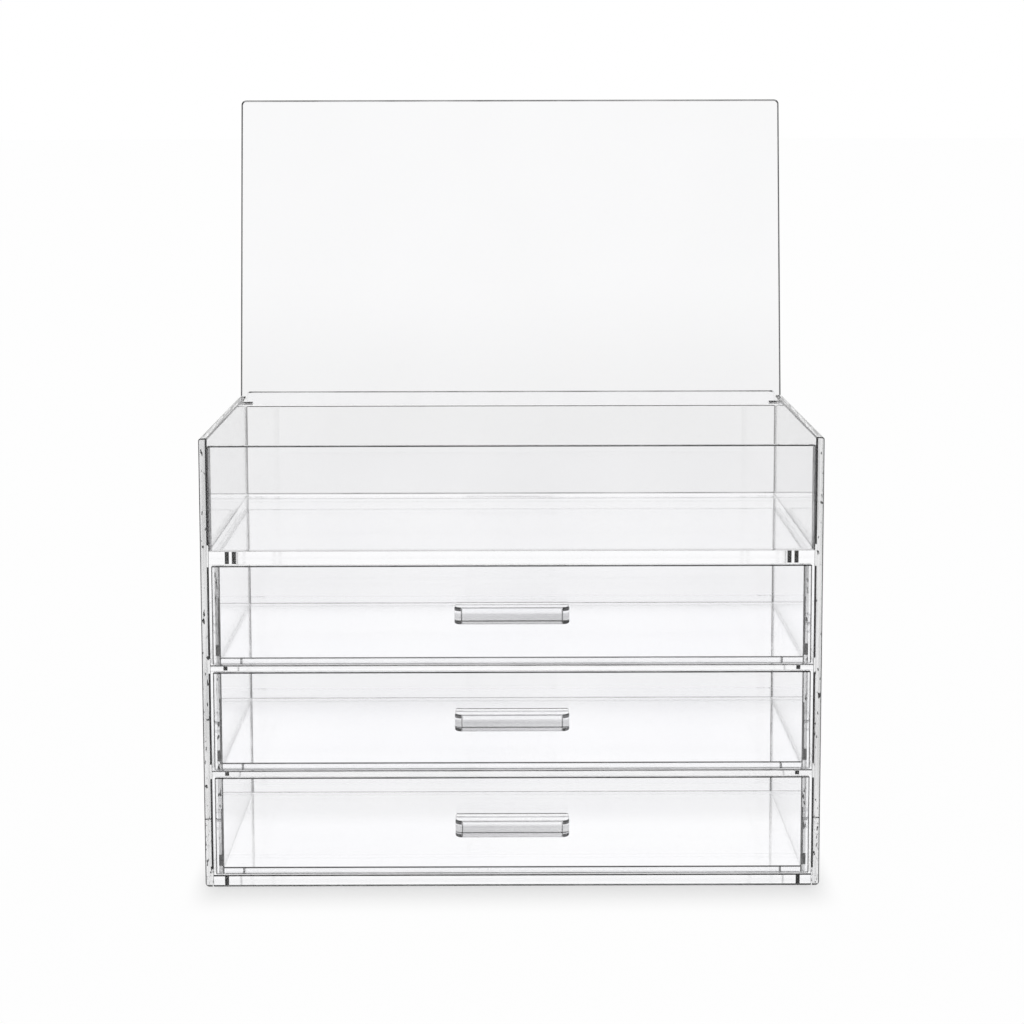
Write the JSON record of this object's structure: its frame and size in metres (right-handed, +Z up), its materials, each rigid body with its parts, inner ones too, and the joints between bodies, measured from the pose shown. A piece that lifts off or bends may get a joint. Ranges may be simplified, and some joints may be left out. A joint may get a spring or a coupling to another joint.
{
  "type": "drawer organizer",
  "caption": "Clear acrylic vanity box with an open top tray under a hinged lid and a stack of sliding drawers with bar handles.",
  "frame": {"origin": "middle of the case's underside, on the surface it stands on", "axes": "+X to the right seen from the front, -Y out of the front where the handles are, +Z up"},
  "size_m": [0.24, 0.1705, 0.3067],
  "materials": {
    "clear_case": "clear cast acrylic sheet, polished edges",
    "clear_drawer": "clear cast acrylic sheet, polished edges",
    "clear_lid": "clear cast acrylic sheet, polished edges",
    "clear_bar": "clear acrylic bar, polished all over",
    "pin_steel": "plain steel wire pin"
  },
  "bodies": {
    "case": {"side_panel_left": "clear_case", "side_panel_right": "clear_case", "base_panel": "clear_case", "shelf_lower": "clear_case", "shelf_upper": "clear_case", "tray_floor": "clear_case", "tray_front": "clear_case", "back_panel": "clear_case", "drawer_stops_bottom": "clear_case", "drawer_stops_middle": "clear_case", "drawer_stops_top": "clear_case"},
    "lid": {"lid_panel": "clear_lid", "lid_hinge_bar": "clear_bar", "hinge_pin_left": "pin_steel", "hinge_pin_right": "pin_steel"},
    "drawer_bottom": {"drawer_bottom_front": "clear_drawer", "drawer_bottom_side_left": "clear_drawer", "drawer_bottom_side_right": "clear_drawer", "drawer_bottom_back": "clear_drawer", "drawer_bottom_floor": "clear_drawer", "drawer_bottom_handle": "clear_bar"},
    "drawer_middle": {"drawer_middle_front": "clear_drawer", "drawer_middle_side_left": "clear_drawer", "drawer_middle_side_right": "clear_drawer", "drawer_middle_back": "clear_drawer", "drawer_middle_floor": "clear_drawer", "drawer_middle_handle": "clear_bar"},
    "drawer_top": {"drawer_top_front": "clear_drawer", "drawer_top_side_left": "clear_drawer", "drawer_top_side_right": "clear_drawer", "drawer_top_back": "clear_drawer", "drawer_top_floor": "clear_drawer", "drawer_top_handle": "clear_bar"}
  },
  "joints": [
    {"name": "lid_hinge", "type": "hinge", "parent": "case", "child": "lid", "pos_m": [0, 0.0634, 0.1745], "axis": [1, 0, 0], "range_deg": [0, 98.8]},
    {"name": "drawer_bottom_slide", "type": "slide", "parent": "case", "child": "drawer_bottom", "axis": [0, -1, 0], "range_m": [0, 0.1]},
    {"name": "drawer_middle_slide", "type": "slide", "parent": "case", "child": "drawer_middle", "axis": [0, -1, 0], "range_m": [0, 0.1]},
    {"name": "drawer_top_slide", "type": "slide", "parent": "case", "child": "drawer_top", "axis": [0, -1, 0], "range_m": [0, 0.1]}
  ]
}
